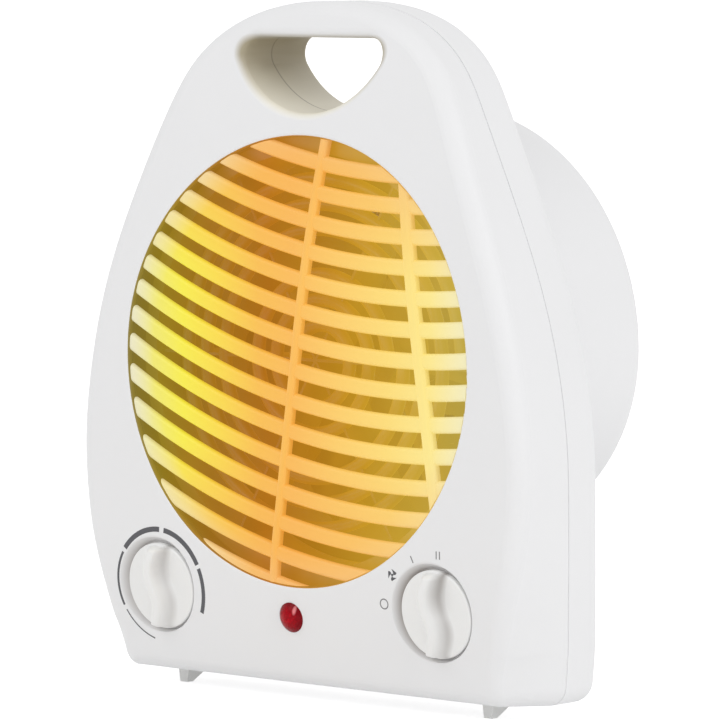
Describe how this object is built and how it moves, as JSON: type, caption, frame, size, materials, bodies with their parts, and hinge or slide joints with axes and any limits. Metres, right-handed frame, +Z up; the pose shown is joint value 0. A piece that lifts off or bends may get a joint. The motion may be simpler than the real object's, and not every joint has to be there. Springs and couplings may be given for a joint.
{
  "type": "fan heater",
  "caption": "Upright fan heater with a round slatted front grille, turning knobs, a red indicator, a carrying slot and a round drum behind.",
  "frame": {"origin": "on the floor, under the middle of the heater's bounding box", "axes": "+X to the right as seen from the front, +Y towards the back, +Z up; the grille faces -Y"},
  "size_m": [0.2108, 0.099, 0.2502],
  "materials": {
    "white_plastic": "satin white moulded plastic",
    "grille_plastic": "satin white heat-resistant plastic",
    "knob_plastic": "satin white moulded plastic",
    "red_lens": "polished deep red",
    "lamp_glass": "clear glass",
    "zinc_steel": "zinc plated",
    "duct_steel": "bright galvanised sheet",
    "lamination_steel": "blued stamped laminations",
    "coil_wire": "resistance wire, oxidised",
    "mica": "layered mica sheet, dull",
    "copper_wire": "enamelled copper",
    "sintered_bronze": "sintered, oiled",
    "tab_brass": "plain brass",
    "black_plastic": "matt black heat-resistant plastic",
    "grey_plastic": "matt grey plastic"
  },
  "bodies": {
    "housing": {"front_shell": "white_plastic", "rear_shell": "white_plastic", "front_grille": "grille_plastic", "rear_grille": "white_plastic", "front_foot_left": "white_plastic", "front_foot_right": "white_plastic", "rear_foot_left": "white_plastic", "rear_foot_right": "white_plastic", "foot_screws": "zinc_steel", "indicator_lens": "red_lens", "neon_lamp": "lamp_glass", "thermostat_base": "black_plastic", "bimetal_strip": "zinc_steel", "selector_switch": "black_plastic", "switch_terminals": "tab_brass", "thermostat_screws": "zinc_steel", "selector_screws": "zinc_steel", "heater_duct": "duct_steel", "duct_screws": "zinc_steel", "mica_frame": "mica", "outer_heating_coil": "coil_wire", "inner_heating_coil": "coil_wire", "thermal_cutout": "zinc_steel", "thermal_fuse": "zinc_steel", "motor_stator": "lamination_steel", "motor_winding": "copper_wire", "motor_bobbin": "black_plastic", "front_bush": "sintered_bronze", "rear_bush": "sintered_bronze", "front_bearing_bracket": "zinc_steel", "rear_bearing_bracket": "zinc_steel", "motor_bridge": "zinc_steel", "bridge_screws": "zinc_steel", "motor_screws": "zinc_steel", "housing_screws": "zinc_steel", "cord_gland": "grey_plastic", "terminal_block": "black_plastic"},
    "fan": {"fan_impeller": "grey_plastic", "fan_clip": "zinc_steel", "motor_shaft": "zinc_steel", "motor_rotor": "lamination_steel"},
    "thermostat": {"thermostat_knob": "knob_plastic", "thermostat_spindle": "grey_plastic"},
    "selector": {"selector_knob": "knob_plastic", "selector_spindle": "grey_plastic"}
  },
  "joints": [
    {"name": "fan_spin", "type": "hinge", "parent": "housing", "child": "fan", "pos_m": [0, 0.009, 0.1225], "axis": [0, 1, 0], "continuous": true},
    {"name": "thermostat_turn", "type": "hinge", "parent": "housing", "child": "thermostat", "pos_m": [-0.0654, -0.04096, 0.0377], "axis": [0, -0.992, -0.1259], "range_deg": [-110, 160]},
    {"name": "selector_turn", "type": "hinge", "parent": "housing", "child": "selector", "pos_m": [0.0654, -0.04096, 0.0377], "axis": [0, -0.992, -0.1259], "range_deg": [0, 90]}
  ]
}
